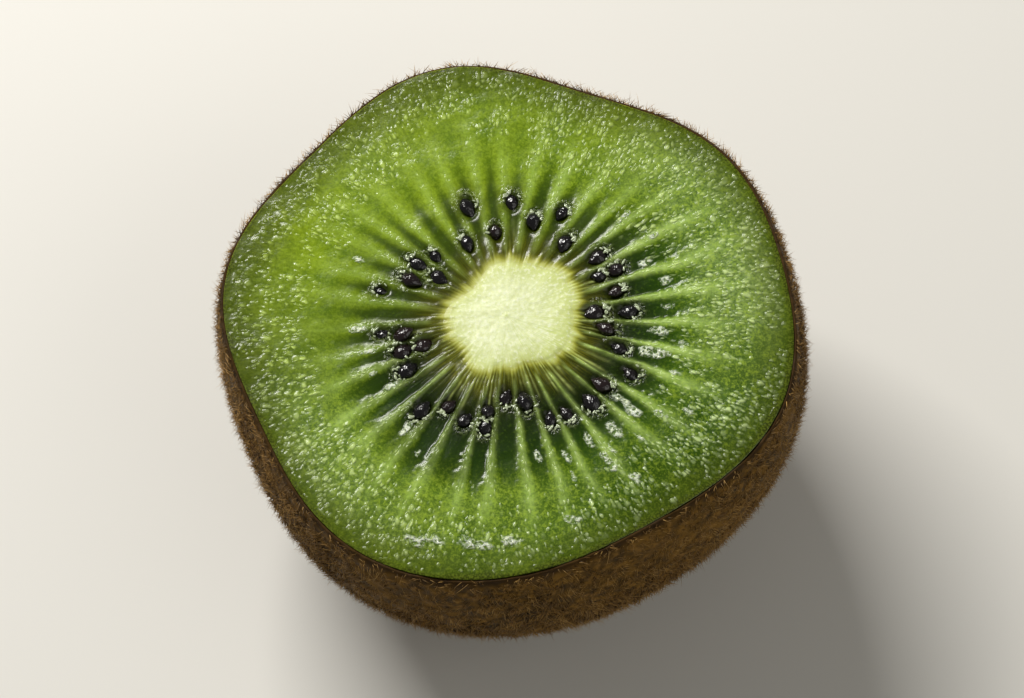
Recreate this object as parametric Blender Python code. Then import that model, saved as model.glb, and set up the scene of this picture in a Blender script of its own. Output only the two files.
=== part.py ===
"""One half of a kiwi fruit, cut across and laid on its stem end with the cut face up.

Three solids lie one inside the other, as the layers do in the fruit: the outer flesh with its
peel, the darker ring of flesh that holds the seeds, and the pale core that runs down through it.
Metres, +Z up, with the origin under the middle of the fruit where it rests.
"""

import math

import bmesh
import bpy

# Whole half
FACE_RADIUS = 0.025      # mean radius of the cut face, peel included
HEIGHT = 0.0308          # from the resting spot to the cut
FULLNESS = 2.3           # section from cut to stem end: 2 is an ellipse, more is squarer
BULGE = 0.32             # how far the side swells just below the cut, as a share
FOOT_RADIUS = 0.0076     # small flat spot at the stem end
LOBE_FADE = 0.57         # share of the depth over which the lobes die away
EDGE_ROUND = 0.0006      # rounding where the peel meets the cut

# Waves round an outline: how many, how high as a share of the radius, and where one crest stands
BODY_LOBES = ((2, 0.017, -14.5), (3, 0.025, -5.0), (4, 0.013, -18.5), (5, 0.022, 26.2), (6, 0.014, -23.5))
CORE_LOBES = ((1, 0.079, -39.0), (2, 0.091, 25.0), (3, 0.027, -35.7), (4, 0.021, -20.5), (5, 0.055, 24.4))

# Stem end: a shallow hollow with the dry scar of the stalk standing in it
HOLLOW_RADIUS = 0.0036
HOLLOW_DEPTH = 0.0011
SCAR_RADIUS = 0.0014
SCAR_HEIGHT = 0.0008     # above the floor of the hollow, so that it hangs clear of what the fruit rests on

# Inner layers, each a cup or plug that tapers towards the stem end
LAYER_GAP = 0.0003       # between two layers
RING_RADIUS = 0.0176     # seed ring at the cut
RING_DEPTH = 0.0268
RING_LOBE_SHARE = 0.6    # how closely the seed ring follows the body's lobes
CORE_RADIUS = 0.0056     # core at the cut
CORE_DEPTH = 0.0242
LAYER_FULLNESS = 3.0     # squareness of the layers' sections

# Cut face
SEED_POCKETS = 35        # pockets between the pale partitions of the seed ring
POCKET_SINK = 0.00035    # how far the pockets sink below the partitions
FLESH_CROWN = 0.00018    # how far the outer flesh stands up between peel and seed ring
CORE_CROWN = 0.00045     # how far the middle of the core stands up

# Facets: loops go round the axis, steps go down a side
SIDES_FINE = 4 * SEED_POCKETS
SIDES_BODY = 2 * SEED_POCKETS
SIDES_CORE = SEED_POCKETS
SIDE_STEPS = 17
WALL_STEPS = 8


def wave(angle, lobes):
    """Height of the waves at an angle, as a share of the mean radius."""
    return sum(height * math.cos(count * (angle - math.radians(crest))) for count, height, crest in lobes)


def body_radius(angle, depth):
    """Radius out to the peel at an angle and at a share of the full depth below the cut."""
    section = (1 - depth ** FULLNESS) ** (1 / FULLNESS) * (1 + BULGE * depth * (1 - depth))
    lobes = wave(angle, BODY_LOBES) * math.exp(-depth / LOBE_FADE)
    return FACE_RADIUS * section * (1 + lobes)


def foot_share():
    """Share of the full depth at which the section has shrunk to the flat spot."""
    return (1 - (FOOT_RADIUS / FACE_RADIUS) ** FULLNESS) ** (1 / FULLNESS)


def ring_edge(angle, depth=0.0, grow=0.0):
    """Radius of the seed ring, which follows the body's lobes faintly."""
    lobes = RING_LOBE_SHARE * wave(angle, BODY_LOBES) * math.exp(-depth / LOBE_FADE)
    return (RING_RADIUS * (1 + lobes) + grow) * (1 - depth ** LAYER_FULLNESS) ** (1 / LAYER_FULLNESS)


def core_edge(angle, depth=0.0, grow=0.0):
    """Radius of the core, whose lopsided outline evens out with depth."""
    lobes = wave(angle, CORE_LOBES) * math.exp(-depth / LOBE_FADE)
    return (CORE_RADIUS * (1 + lobes) + grow) * (1 - depth ** LAYER_FULLNESS) ** (1 / LAYER_FULLNESS)


def pocket(angle):
    """1 in the middle of a seed pocket and 0 on the partition beside it."""
    return math.sqrt(abs(math.sin(angle * SEED_POCKETS / 2)))


def loop(bm, sides, radius, height):
    """Closed loop of vertices; radius and height are functions of the angle."""
    verts = []
    for side in range(sides):
        angle = math.tau * side / sides
        reach = radius(angle)
        verts.append(bm.verts.new((reach * math.cos(angle), reach * math.sin(angle), height(angle))))
    return verts


def bridge(bm, first, second):
    """Faces between two loops, of equal count or one with twice the sides of the other."""
    fine, coarse = (first, second) if len(first) >= len(second) else (second, first)
    step = len(fine) // len(coarse)
    for side, vert in enumerate(coarse):
        neighbour = coarse[(side + 1) % len(coarse)]
        if step == 1:
            bm.faces.new((fine[side], fine[(side + 1) % len(fine)], neighbour, vert))
            continue
        start, middle, end = fine[2 * side], fine[2 * side + 1], fine[(2 * side + 2) % len(fine)]
        bm.faces.new((vert, start, middle))
        bm.faces.new((vert, middle, neighbour))
        bm.faces.new((neighbour, middle, end))


def close_loop(bm, verts, height):
    """Fan of triangles that closes a loop on a point of the axis."""
    tip = bm.verts.new((0.0, 0.0, height))
    for side, vert in enumerate(verts):
        bm.faces.new((vert, verts[(side + 1) % len(verts)], tip))


def skin_over(bm, loops):
    """Bridges each loop to the next."""
    for first, second in zip(loops, loops[1:]):
        bridge(bm, first, second)


def layer_wall(bm, sides, edge, depth, grow):
    """Loops down the wall of a layer, from just below the cut to near its blunt end."""
    loops = []
    for step in range(1, WALL_STEPS + 1):
        share = math.sin(0.5 * math.pi * step / (WALL_STEPS + 0.5)) ** (2 / LAYER_FULLNESS)
        level = HEIGHT - (depth + grow) * share
        loops.append(loop(bm, sides, lambda a, s=share: edge(a, s, grow), lambda a, z=level: z))
    return loops


def stem_end(bm):
    """Loops of the scar and the hollow round it, from the scar's top out to the flat spot's inner edge."""
    profile = (
        (SCAR_RADIUS * 0.7, HOLLOW_DEPTH - SCAR_HEIGHT),
        (SCAR_RADIUS, HOLLOW_DEPTH - SCAR_HEIGHT * 0.7),
        (SCAR_RADIUS * 1.2, HOLLOW_DEPTH),
        (HOLLOW_RADIUS * 0.72, HOLLOW_DEPTH * 0.85),
        (HOLLOW_RADIUS, 0.0),
    )
    return [loop(bm, SIDES_CORE, lambda a, r=reach: r, lambda a, z=level: z) for reach, level in profile]


def body_side(bm):
    """Loops of the peel from the edge of the flat spot up to the rounded rim of the cut."""
    deepest = foot_share()
    full_depth = HEIGHT / deepest
    sweep = math.acos((FOOT_RADIUS / FACE_RADIUS) ** (FULLNESS / 2))
    loops = []
    for step in range(SIDE_STEPS + 1):
        share = math.sin(sweep * (1 - step / SIDE_STEPS)) ** (2 / FULLNESS)
        level = max(0.0, HEIGHT - full_depth * share)
        if level > HEIGHT - EDGE_ROUND:
            break
        loops.append(loop(bm, SIDES_BODY, lambda a, s=share: body_radius(a, s), lambda a, z=level: z))
    for inset, drop in ((0.0, 1.0), (0.3, 0.3), (1.0, 0.0)):
        loops.append(loop(
            bm, SIDES_BODY,
            lambda a, i=inset: body_radius(a, 0) - EDGE_ROUND * i,
            lambda a, d=drop: HEIGHT - EDGE_ROUND * d,
        ))
    return loops


def make_outer_flesh(bm):
    """Peel, rim, the outer band of the cut face and the socket for the seed ring."""
    loops = stem_end(bm)
    close_loop(bm, loops[0], HOLLOW_DEPTH - SCAR_HEIGHT)
    loops += body_side(bm)
    for share in (0.25, 0.5, 0.75, 1.0):
        level = HEIGHT + FLESH_CROWN * math.sin(math.pi * share ** 0.8)
        loops.append(loop(
            bm, SIDES_BODY,
            lambda a, s=share: (body_radius(a, 0) - EDGE_ROUND) * (1 - s) + ring_edge(a, grow=LAYER_GAP) * s,
            lambda a, z=level: z,
        ))
    loops += layer_wall(bm, SIDES_BODY, ring_edge, RING_DEPTH, LAYER_GAP)
    skin_over(bm, loops)
    close_loop(bm, loops[-1], HEIGHT - RING_DEPTH - LAYER_GAP)


def make_seed_ring(bm):
    """Sunken pockets between raised partitions, over a cup that holds the core."""
    outside = layer_wall(bm, SIDES_BODY, ring_edge, RING_DEPTH, 0.0)
    face = []
    for sides, share in (
        (SIDES_BODY, 1.0), (SIDES_FINE, 0.9), (SIDES_FINE, 0.7), (SIDES_FINE, 0.5),
        (SIDES_FINE, 0.3), (SIDES_FINE, 0.14), (SIDES_BODY, 0.05), (SIDES_CORE, 0.0),
    ):
        sink = POCKET_SINK * math.sin(math.pi * share ** 0.7) ** 0.6 if 0 < share < 1 else 0.0
        face.append(loop(
            bm, sides,
            lambda a, s=share: core_edge(a, grow=LAYER_GAP) * (1 - s) + ring_edge(a) * s,
            lambda a, d=sink: HEIGHT - d * pocket(a),
        ))
    inside = layer_wall(bm, SIDES_CORE, core_edge, CORE_DEPTH, LAYER_GAP)
    skin_over(bm, outside[::-1] + face + inside)
    close_loop(bm, outside[-1], HEIGHT - RING_DEPTH)
    close_loop(bm, inside[-1], HEIGHT - CORE_DEPTH - LAYER_GAP)


def make_core(bm):
    """Pale plug with a softly domed top."""
    wall = layer_wall(bm, SIDES_CORE, core_edge, CORE_DEPTH, 0.0)
    top = []
    for share in (1.0, 0.9, 0.65, 0.35):
        level = HEIGHT + CORE_CROWN * math.cos(0.5 * math.pi * share)
        top.append(loop(bm, SIDES_CORE, lambda a, s=share: core_edge(a) * s, lambda a, z=level: z))
    skin_over(bm, wall[::-1] + top)
    close_loop(bm, wall[-1], HEIGHT - CORE_DEPTH)
    close_loop(bm, top[-1], HEIGHT + CORE_CROWN)


def outline_middle():
    """Middle of the body's bounding box across, so that the fruit can be centred on the origin."""
    angles = [math.tau * side / SIDES_BODY for side in range(SIDES_BODY)]
    depths = [step / SIDE_STEPS for step in range(SIDE_STEPS)]
    reaches = [(a, body_radius(a, d)) for a in angles for d in depths]
    across = [reach * math.cos(a) for a, reach in reaches]
    along = [reach * math.sin(a) for a, reach in reaches]
    return (min(across) + max(across)) / 2, (min(along) + max(along)) / 2


def flesh_material(name, colour, roughness):
    """Moist fruit flesh of one colour."""
    material = bpy.data.materials.new(name)
    material.use_nodes = True
    shader = material.node_tree.nodes["Principled BSDF"]
    shader.inputs["Base Color"].default_value = (*colour, 1.0)
    shader.inputs["Roughness"].default_value = roughness
    shader.inputs["Metallic"].default_value = 0.0
    return material


def add_layer(name, make, material, fruit):
    """Builds one solid, smooth over its curves and sharp at its edges, and parents it to the fruit."""
    bm = bmesh.new()
    make(bm)
    bmesh.ops.recalc_face_normals(bm, faces=bm.faces)
    mesh = bpy.data.meshes.new(name)
    bm.to_mesh(mesh)
    bm.free()
    mesh.materials.append(material)
    mesh.shade_smooth()
    mesh.set_sharp_from_angle(angle=math.radians(50))
    layer = bpy.data.objects.new(name, mesh)
    layer.parent = fruit
    bpy.context.scene.collection.objects.link(layer)


def build():
    for leftover in list(bpy.data.objects):
        bpy.data.objects.remove(leftover)
    middle_x, middle_y = outline_middle()
    fruit = bpy.data.objects.new("kiwi_half", None)
    fruit.location = (-middle_x, -middle_y, 0.0)
    bpy.context.scene.collection.objects.link(fruit)
    green = flesh_material("green flesh", (0.30, 0.46, 0.05), 0.35)
    dark_green = flesh_material("dark green flesh", (0.09, 0.20, 0.02), 0.30)
    cream = flesh_material("pale core", (0.80, 0.82, 0.50), 0.45)
    add_layer("outer_flesh", make_outer_flesh, green, fruit)
    add_layer("seed_ring", make_seed_ring, dark_green, fruit)
    add_layer("core", make_core, cream, fruit)


build()
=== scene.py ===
"""Half a kiwi fruit on its stem end, cut face up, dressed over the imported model's three layers."""
import math

import bpy
import numpy as np
from mathutils import Matrix, Vector


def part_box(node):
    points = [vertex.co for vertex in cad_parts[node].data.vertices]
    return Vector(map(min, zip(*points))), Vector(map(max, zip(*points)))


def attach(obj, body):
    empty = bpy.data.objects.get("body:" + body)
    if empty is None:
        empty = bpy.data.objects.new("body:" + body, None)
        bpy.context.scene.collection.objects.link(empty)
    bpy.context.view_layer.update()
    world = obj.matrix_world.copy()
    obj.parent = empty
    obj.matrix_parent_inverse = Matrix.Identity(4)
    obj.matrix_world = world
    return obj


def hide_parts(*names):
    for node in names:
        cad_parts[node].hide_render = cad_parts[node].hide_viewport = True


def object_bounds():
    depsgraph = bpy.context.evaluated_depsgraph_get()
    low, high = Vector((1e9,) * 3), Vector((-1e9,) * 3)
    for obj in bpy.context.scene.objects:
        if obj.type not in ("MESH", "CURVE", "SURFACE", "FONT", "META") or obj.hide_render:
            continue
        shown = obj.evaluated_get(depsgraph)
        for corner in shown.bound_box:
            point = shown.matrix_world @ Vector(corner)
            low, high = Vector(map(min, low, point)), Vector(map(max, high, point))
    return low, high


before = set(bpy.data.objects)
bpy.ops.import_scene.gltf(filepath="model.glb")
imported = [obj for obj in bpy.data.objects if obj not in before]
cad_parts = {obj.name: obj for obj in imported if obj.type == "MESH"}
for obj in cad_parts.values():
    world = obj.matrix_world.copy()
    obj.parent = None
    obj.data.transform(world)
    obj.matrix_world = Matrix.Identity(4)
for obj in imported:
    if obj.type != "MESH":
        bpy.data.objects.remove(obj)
cad_low, cad_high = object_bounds()


# ---- Cut flesh ---------------------------------------------------------------------------------
# The green flesh from the peel in to the core, as one pass of the knife left it. Pale partitions
# stand up between sunken seed pockets, and a band of crisp, juice-filled cells lies outside them.

MM = 0.001
PEEL_THICKNESS = 0.30 * MM
BODY_FULLNESS = 2.3
BODY_BULGE = 0.32
LOBE_FADE = 0.57
BODY_LOBES = ((2, 0.017, -14.5), (3, 0.025, -5.0), (4, 0.013, -18.5), (5, 0.022, 26.2), (6, 0.014, -23.5))
CORE_LOBES = ((1, 0.079, -39.0), (2, 0.091, 25.0), (3, 0.027, -35.7), (4, 0.021, -20.5), (5, 0.055, 24.4))
FOOT_RADIUS = 7.6 * MM
CORE_RADIUS = 5.6 * MM
RIPE_AND_SHADED_SIDE = math.radians(305)
DRY_SIDE = math.radians(128)
POCKETS = 35
FIBRES = 118
# Distance of each seed from the axis, in mm, pocket by pocket
SEEDS_IN_POCKET = {
    1: (9.0, 10.9), 2: (10.0,), 4: (8.8,), 5: (11.2,), 6: (9.5,), 7: (11.1,), 8: (8.4,), 9: (11.3,),
    10: (8.1,), 12: (8.7,), 13: (7.3, 9.4), 14: (9.3,), 15: (11.5,), 17: (9.4, 11.1), 18: (7.6, 9.8),
    19: (10.0,), 21: (11.4,), 22: (9.9,), 23: (10.3,), 24: (8.9, 10.6), 25: (7.7,), 26: (8.3,), 27: (10.4,),
    28: (10.8,), 29: (11.1,), 30: (10.8,), 31: (12.3,), 32: (10.5,), 33: (8.9,), 34: (10.8, 7.9), 0: (9.9,),
}
# Smears of juice and gel: angle, share of the way out, half length and half width in mm
WET_SPOTS = (
    (294, 0.55, 1.1, 0.45), (295, 0.67, 0.9, 0.4), (284, 0.58, 0.8, 0.35), (283, 0.66, 0.6, 0.35),
    (313, 0.56, 1.5, 0.5), (317, 0.66, 1.0, 0.4), (303, 0.58, 1.3, 0.5), (307, 0.66, 0.9, 0.35),
    (298, 0.62, 0.8, 0.3), (336, 0.55, 1.4, 0.5), (331, 0.64, 1.1, 0.4), (345, 0.55, 1.1, 0.4),
    (342, 0.63, 0.8, 0.3), (355, 0.58, 0.8, 0.3), (5, 0.60, 1.1, 0.4), (14, 0.55, 0.9, 0.35),
    (22, 0.60, 0.7, 0.3), (274, 0.55, 0.6, 0.3), (264, 0.85, 0.4, 1.2), (255, 0.86, 0.5, 1.8),
    (247, 0.88, 0.4, 1.5), (241, 0.90, 0.4, 1.2), (279, 0.81, 0.4, 0.8), (322, 0.74, 0.7, 0.35),
    (298, 0.77, 0.5, 0.35), (34, 0.58, 0.9, 0.35), (186, 0.50, 1.0, 0.3), (196, 0.52, 0.9, 0.28),
    (204, 0.47, 0.9, 0.3), (176, 0.53, 0.8, 0.25), (160, 0.52, 0.6, 0.25), (148, 0.58, 0.5, 0.2),
    (222, 0.55, 0.7, 0.3), (231, 0.60, 0.6, 0.3),
)
SEED_LENGTH = 2.0 * MM
FACE_SIDES = 704
FACE_LOOPS = 122


def waves(angle, lobes):
    """Waves round an outline, as a share of its mean radius."""
    return sum(high * np.cos(count * (angle - math.radians(crest))) for count, high, crest in lobes)


def body_outline(angle, depth):
    """Distance from the axis to the peel for a mean radius of 1, at a share of the full depth."""
    section = (1 - depth ** BODY_FULLNESS) ** (1 / BODY_FULLNESS) * (1 + BODY_BULGE * depth * (1 - depth))
    return section * (1 + waves(angle, BODY_LOBES) * np.exp(-depth / LOBE_FADE))


def smooth(low, high, value):
    """0 below low, 1 above high and an even ease between them."""
    share = np.clip((value - low) / (high - low), 0, 1)
    return share * share * (3 - 2 * share)


def drift(across, along, seed, closes=512):
    """Soft noise from -1 to 1 that repeats after so many cells across, which closes it round the axis."""
    table = np.random.default_rng(seed).uniform(-1, 1, (512, closes))
    column, row = np.floor(across).astype(int), np.floor(along).astype(int)
    right, up = across - column, along - row
    right, up = right * right * (3 - 2 * right), up * up * (3 - 2 * up)
    corner = [[table[(row + j) % 512, (column + i) % closes] for i in (0, 1)] for j in (0, 1)]
    low = corner[0][0] * (1 - right) + corner[0][1] * right
    high = corner[1][0] * (1 - right) + corner[1][1] * right
    return low * (1 - up) + high * up


def cells(angle, reach, width, length, seed):
    """Juice cells laid in rows round the axis: distance to the nearest cell's middle, in cell
    sizes, and a random number that belongs to that cell."""
    rows = int(40 * MM / length)
    count = np.maximum(6, np.round(math.tau * (np.arange(rows) + 0.5) * length / width)).astype(int)
    place = np.random.default_rng(seed).random((3, rows, count.max()))
    turn = (angle / math.tau) % 1
    nearest, number = np.full(angle.shape, 9.0), np.zeros(angle.shape)
    home_row = np.floor(reach / length).astype(int)
    for row_step in (-1, 0, 1):
        row = np.clip(home_row + row_step, 0, rows - 1)
        around = count[row]
        home = np.floor(turn * around).astype(int)
        for step in (-1, 0, 1):
            column = (home + step) % around
            aside = (home + step + place[0, row, column]) - turn * around
            away = (row + place[1, row, column]) - reach / length
            apart = np.hypot(aside, away)
            closer = apart < nearest
            nearest = np.where(closer, apart, nearest)
            number = np.where(closer, place[2, row, column], number)
    return nearest, number


def grid_faces(loops, sides):
    """Quads between each closed loop of points and the next."""
    here = np.arange(loops * sides).reshape(loops, sides)
    beside = np.roll(here, -1, axis=1)
    return np.stack([here[:-1], here[1:], beside[1:], beside[:-1]], -1).reshape(-1, 4)


def closed_faces(loops, sides):
    """Faces over a stack of loops, closed by a point before the first loop and one after the last."""
    ring = np.arange(sides)
    after = np.roll(ring, -1)
    last_loop = (loops - 1) * sides
    start = np.stack([np.full(sides, loops * sides), ring, after], -1)
    end = np.stack([np.full(sides, loops * sides + 1), last_loop + after, last_loop + ring], -1)
    return grid_faces(loops, sides).tolist() + start.tolist() + end.tolist()


def turned_mesh(name, points, first, last):
    """Closed mesh over a stack of loops, from a point on the axis to another."""
    corners = [*map(tuple, points.reshape(-1, 3)), tuple(first), tuple(last)]
    mesh = bpy.data.meshes.new(name)
    mesh.from_pydata(corners, [], closed_faces(*points.shape[:2]))
    mesh.shade_smooth()
    return mesh


def add_piece(name, mesh, material, replaced=()):
    """Puts a finished mesh on the fruit's one body, with its look, and hides the imported parts it replaces.
    """
    mesh.materials.append(material)
    made = bpy.data.objects.new(name, mesh)
    bpy.context.scene.collection.objects.link(made)
    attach(made, "root")
    if replaced:
        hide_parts(*replaced)


def paint(mesh, name, values):
    """Stores one number for each vertex, for the look to read."""
    layer = mesh.attributes.new(name, "FLOAT", "POINT")
    layer.data.foreach_set("value", np.asarray(values, np.float32))


def paint_loops(mesh, name, points, loops, values, tips=(0, 0)):
    """Stores a number on some loops of a turned mesh and on its two tips, and none on the rest."""
    whole = np.zeros(points.shape[:2], np.float32)
    whole[loops] = values
    paint(mesh, name, np.append(whole.ravel(), tips))


def lay_map(mesh, spot):
    """Gives each vertex its place on the mesh's flat map."""
    layer = mesh.uv_layers.new(name="OFBake")
    corner = np.zeros(len(mesh.loops), np.int32)
    mesh.loops.foreach_get("vertex_index", corner)
    layer.uv.foreach_set("vector", spot[corner].astype(np.float32).ravel())


def flat_map(mesh, points, size, middle, hidden_loops, hidden_tips):
    """Map of a turned mesh seen square on, with what is hidden shrunk into a corner of it."""
    hidden = np.zeros(points.shape[:2], bool)
    hidden[hidden_loops] = True
    hidden = np.append(hidden.ravel(), hidden_tips)
    spot = np.concatenate([points[..., :2].reshape(-1, 2), [[AXIS_X, AXIS_Y]] * 2]) / size + middle
    lay_map(mesh, np.where(hidden[:, None], 0.003 + 0.09 * spot, spot))


def rgb(*levels):
    """Linear colour of an 8-bit screen colour: red, green and blue."""
    return tuple(((c / 255 + 0.055) / 1.055) ** 2.4 if c > 10 else c / 255 / 12.92 for c in levels)


def new_look(name, colour, roughness, more=()):
    """Plain Principled look, ready for its patterns."""
    look = bpy.data.materials.new(name)
    look.use_nodes = True
    tree = look.node_tree
    shader = tree.nodes["Principled BSDF"]
    shader.inputs["Base Color"].default_value = (*colour, 1)
    shader.inputs["Roughness"].default_value = roughness
    for key, value in dict(more).items():
        shader.inputs[key].default_value = value
    return look, tree, shader


def step_node(tree, kind, inputs=(), **settings):
    """One node, with its settings, and its inputs given as numbers or as other nodes' outputs."""
    made = tree.nodes.new(kind)
    for key, value in settings.items():
        setattr(made, key, value)
    for key, value in dict(inputs).items():
        if isinstance(value, bpy.types.NodeSocket):
            tree.links.new(value, made.inputs[key])
        else:
            made.inputs[key].default_value = value
    return made


def dull_side(angle):
    """1 on the side of the fruit where the cut dried a little and looks soft, 0 on the wet side."""
    return 0.5 + 0.5 * np.cos(angle - DRY_SIDE)


def fibres(angle, beyond):
    """Pale fibres that run out of the core, each as strong and as long as it happens to be."""
    turn = angle * FIBRES / math.tau + 0.8 * drift(angle * 31 / math.tau, beyond / 6 + 20, 6, 31)
    number = np.floor(turn).astype(int) % FIBRES
    strong, long, wide = np.random.default_rng(61).random((3, FIBRES))
    across = (turn - np.floor(turn) - 0.5) / (0.16 + 0.20 * wide[number])
    fade = 1 - smooth(0.1 + 2.8 * long[number] ** 2, 1.3 + 4.0 * long[number] ** 2, beyond)
    beaded = 0.5 + 0.5 * smooth(-0.5, 0.4, drift(angle * FIBRES / math.tau, beyond / 0.33 + 20, 64, FIBRES))
    shown = beaded * np.exp(-across ** 2) * (0.12 + 0.88 * strong[number] ** 1.3)
    return shown * fade * (1 - 0.55 * dull_side(angle))


def round_the_face(angle, *levels):
    """Level that changes smoothly round the fruit, given every 30 degrees from the axis X."""
    turn = (angle / math.tau * len(levels)) % len(levels)
    number = np.floor(turn).astype(int)
    ease = turn - number
    ease = ease * ease * (3 - 2 * ease)
    levels = np.array(levels)
    return levels[number % len(levels)] * (1 - ease) + levels[(number + 1) % len(levels)] * ease


def ripeness_and_shade(angle, across, along):
    """1 on the riper, wetter side of the fruit, 0 on the other. The flesh's colours also use it for painted
    shade on that side and painted light on the other.
    """
    patches = 0.25 * drift(across / (6 * MM), along / (6 * MM), 3)
    return np.clip(0.5 + 0.5 * np.cos(angle - RIPE_AND_SHADED_SIDE) + patches, 0, 1)


def paleness(angle, beyond):
    """How much of the core's cream shows at a distance, in mm, beyond its edge: ragged and soft."""
    short = round_the_face(angle, -0.3, -0.4, -0.05, -0.15, 0.0, 0.05, 0.3, 0.85, 0.75, 0.45, 0.1, -0.3)
    teeth = 0.30 * drift(angle * 47 / math.tau, angle * 0, 62, 47)
    teeth = teeth + 0.26 * drift(angle * 118 / math.tau, angle * 0, 63, 118)
    wide = 0.90 + 0.45 * dull_side(angle)
    return 1 - smooth(-wide, wide, beyond + short - teeth - 0.35 * fibres(angle, beyond))


def ground(across, along, pale):
    """Gentle waviness of the cut in mm, the same on the flesh and on the core."""
    waves_of_knife = 0.07 * drift(across / (3.1 * MM), along / (3.1 * MM), 10)
    return waves_of_knife + 0.025 * drift(across / (0.9 * MM), along / (0.9 * MM), 53) + 0.12 * pale


def number_of(tree, name):
    """The number painted on the mesh under that name."""
    return step_node(tree, "ShaderNodeAttribute", attribute_name=name).outputs["Fac"]


def ramp(tree, value, low, high, to_low=0.0, to_high=1.0):
    """Smooth rise from one number to another as a value goes from low to high."""
    made = step_node(tree, "ShaderNodeMapRange", {"Value": value, 1: low, 2: high, 3: to_low, 4: to_high},
                     interpolation_type="SMOOTHSTEP")
    return made.outputs["Result"]


def blend(tree, share, under, over):
    """Colour laid over another by a share."""
    made = step_node(tree, "ShaderNodeMix", data_type="RGBA")
    for key, value in ((0, share), (6, under), (7, over)):
        if isinstance(value, bpy.types.NodeSocket):
            tree.links.new(value, made.inputs[key])
        else:
            made.inputs[key].default_value = (*value, 1) if isinstance(value, tuple) else value
    return made.outputs[2]


def times(tree, first, second, operation="MULTIPLY"):
    """Two numbers put together."""
    return step_node(tree, "ShaderNodeMath", {0: first, 1: second}, operation=operation).outputs[0]


everywhere = np.linspace(0, math.tau, 720, endpoint=False)
profile_reach = body_outline(everywhere[None, :], np.linspace(0, 0.97, 60)[:, None])
widest = [(profile_reach * round_(everywhere)).min() for round_ in (np.cos, np.sin)]
widest += [(profile_reach * round_(everywhere)).max() for round_ in (np.cos, np.sin)]
FACE_RADIUS = (cad_high.x - cad_low.x) / (widest[2] - widest[0])
AXIS_X = (cad_high.x + cad_low.x) / 2 - FACE_RADIUS * (widest[2] + widest[0]) / 2
AXIS_Y = (cad_high.y + cad_low.y) / 2 - FACE_RADIUS * (widest[3] + widest[1]) / 2
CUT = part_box("seed_ring")[1].z
FOOT_SHARE = (1 - (FOOT_RADIUS / FACE_RADIUS) ** BODY_FULLNESS) ** (1 / BODY_FULLNESS)
FULL_DEPTH = CUT / FOOT_SHARE


def placed(angle, reach, height):
    """Points from their angle, distance from the axis and height."""
    angle, reach, height = np.broadcast_arrays(angle, reach, height)
    return np.stack([AXIS_X + reach * np.cos(angle), AXIS_Y + reach * np.sin(angle), height], -1)


chance = np.random.default_rng(35)
wall_angles = (np.arange(POCKETS) + chance.uniform(-0.14, 0.14, POCKETS)) * math.tau / POCKETS
pocket_tip = chance.uniform(0.63, 0.73, POCKETS)
pocket_width = chance.uniform(0.38, 0.44, POCKETS)


def pocket_place(angle):
    """Number of the pocket at an angle, and how far across it that is, from 0 to 1."""
    marks = np.concatenate([wall_angles, [wall_angles[0] + math.tau]])
    place = np.interp((angle - wall_angles[0]) % math.tau + wall_angles[0], marks, np.arange(POCKETS + 1))
    number = np.minimum(place.astype(int), POCKETS - 1)
    return number, place - number


seed_spots = []
for pocket, reaches in sorted(SEEDS_IN_POCKET.items()):
    start = wall_angles[pocket]
    end = wall_angles[pocket + 1] if pocket + 1 < POCKETS else wall_angles[0] + math.tau
    for reach in reaches:
        turned = (start + end) / 2 + chance.normal(0, 0.012)
        seed_spots.append((turned, reach * MM + chance.normal(0, 0.1) * MM))
seed_angle, seed_reach = np.array(seed_spots).T
seed_size = chance.uniform(0.8, 1.08, len(seed_spots))
seed_size[chance.random(len(seed_spots)) < 0.18] *= 0.8

angle = np.arange(FACE_SIDES)[None, :] * math.tau / FACE_SIDES
share = np.append(np.linspace(0, 0.993, FACE_LOOPS - 2), [0.9975, 1.0])[:, None]
core_edge = CORE_RADIUS * (1 + waves(angle, CORE_LOBES))
peel_edge = FACE_RADIUS * body_outline(angle, 0.0) - PEEL_THICKNESS
start_edge = core_edge - 0.8 * MM
reach = start_edge + (peel_edge - start_edge) * share
across, along = reach * np.cos(angle), reach * np.sin(angle)
outward, beyond = reach / peel_edge, (reach - core_edge) / MM
ripe_and_shaded = ripeness_and_shade(angle, across, along)

# Sunken pockets, the pale walls between them and the fibres that run out of the core
swayed = angle + 0.016 * drift(angle * 35 / math.tau, reach / (4 * MM), 4, 35) * smooth(0.3, 0.6, share)
pocket, beside = pocket_place(swayed)
tip = pocket_tip[pocket] * peel_edge * (1 + 0.10 * ripe_and_shaded)
down = np.clip((beyond - 0.6) / (tip / MM - core_edge / MM - 0.6), 0, 1)
half_width = pocket_width[pocket] * (0.66 + 0.34 * smooth(0, 0.3, down)) * (1.02 + 0.12 * ripe_and_shaded)
half_width *= (1 - down ** 3) ** 0.9
ragged = 0.05 * drift(angle * 210 / math.tau, reach / (0.9 * MM), 5, 210) * smooth(0.2, 0.7, down)
frayed_edge = drift(angle * 290 / math.tau, reach / (0.35 * MM), 59, 290)
ragged = ragged + 0.10 * ripe_and_shaded * frayed_edge * smooth(0.1, 0.5, down)
sunken = smooth(-0.04, 0.06 + 0.26 * (1 - ripe_and_shaded), half_width - np.abs(beside - 0.5) + ragged)
sunken *= smooth(0, 0.05, down) * (1 - smooth(0.50, 1.0, down) ** 1.5)
beads = smooth(-0.5, 0.6, drift(angle * 35 / math.tau, reach / (0.55 * MM), 51, 35))
wall_width = (0.16 + 0.30 * down ** 2 + 0.08 * (1 - ripe_and_shaded)) * MM
from_wall = np.minimum(beside, 1 - beside) * math.tau / POCKETS * reach
ridge = np.exp(-(from_wall / wall_width) ** 2)
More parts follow.
